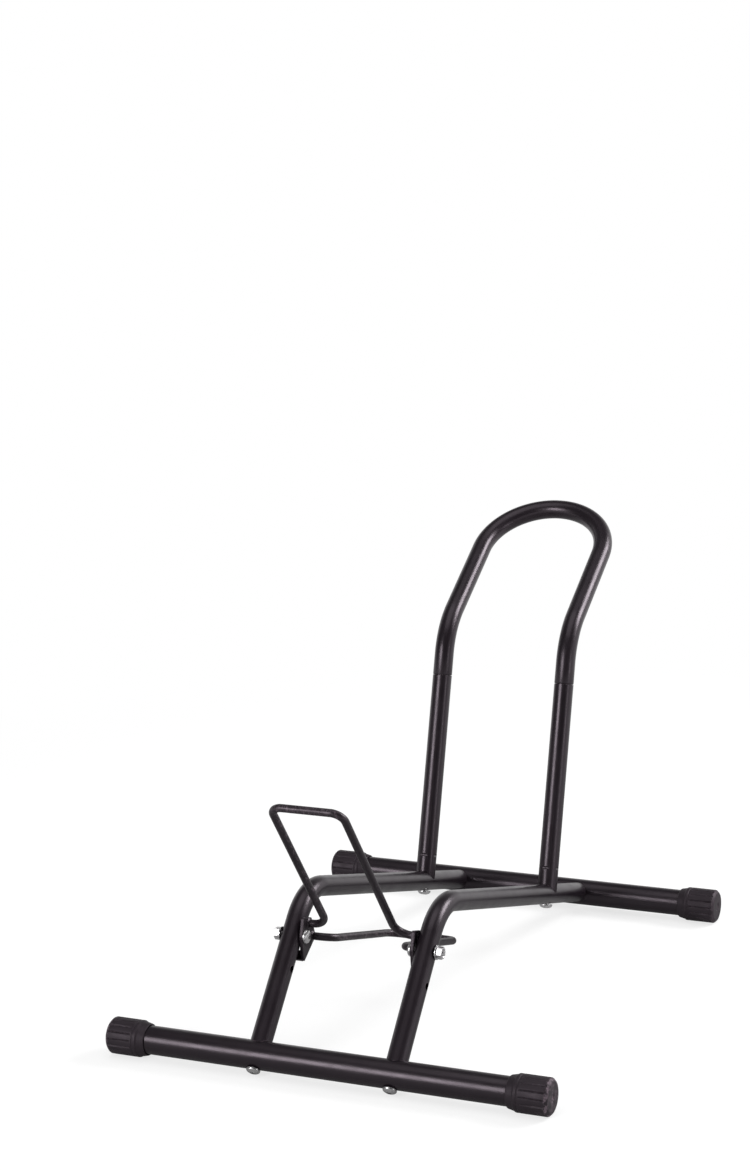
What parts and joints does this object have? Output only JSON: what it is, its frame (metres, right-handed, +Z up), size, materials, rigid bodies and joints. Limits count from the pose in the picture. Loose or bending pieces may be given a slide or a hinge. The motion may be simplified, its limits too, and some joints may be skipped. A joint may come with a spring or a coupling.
{
  "type": "floor bike stand",
  "caption": "Free-standing tubular floor stand that holds a bicycle upright by its wheel, with cross feet, a rear wheel hoop and a rocking cradle the wheel rolls into.",
  "frame": {"origin": "on the floor, in the middle of the stand's length and width", "axes": "+Z up, +Y to the rear where the hoop leans, +X to the right seen from the front foot towards the rear"},
  "size_m": [0.416, 0.644, 0.3921],
  "materials": {
    "frame_coat": "semi-gloss black powder coat",
    "rod_coat": "satin black powder coat",
    "cap_plastic": "satin black moulded plastic",
    "zinc": "bright zinc plate"
  },
  "bodies": {
    "stand": {"front_foot_tube": "frame_coat", "rear_foot_tube": "frame_coat", "front_left_foot_cap": "cap_plastic", "front_right_foot_cap": "cap_plastic", "rear_left_foot_cap": "cap_plastic", "rear_right_foot_cap": "cap_plastic", "left_side_rail": "frame_coat", "right_side_rail": "frame_coat", "left_upright": "frame_coat", "right_upright": "frame_coat", "top_hoop": "frame_coat", "left_pivot_bolt": "zinc", "right_pivot_bolt": "zinc", "left_pivot_washer": "zinc", "right_pivot_washer": "zinc", "left_pivot_nut": "zinc", "right_pivot_nut": "zinc", "left_leg_plug": "zinc", "right_leg_plug": "zinc", "left_leg_bolt": "zinc", "right_leg_bolt": "zinc", "left_run_plug": "zinc", "right_run_plug": "zinc", "left_run_bolt": "zinc", "right_run_bolt": "zinc", "left_upright_plug": "zinc", "right_upright_plug": "zinc", "left_upright_bolt": "zinc", "right_upright_bolt": "zinc"},
    "cradle": {"cradle_front_bow": "rod_coat", "cradle_rear_bow": "rod_coat", "cradle_left_plate": "rod_coat", "cradle_right_plate": "rod_coat"}
  },
  "joints": [
    {"name": "cradle_rock", "type": "hinge", "parent": "stand", "child": "cradle", "pos_m": [0, -0.22466, 0.09882], "axis": [1, 0, 0], "range_deg": [0, 88]}
  ]
}
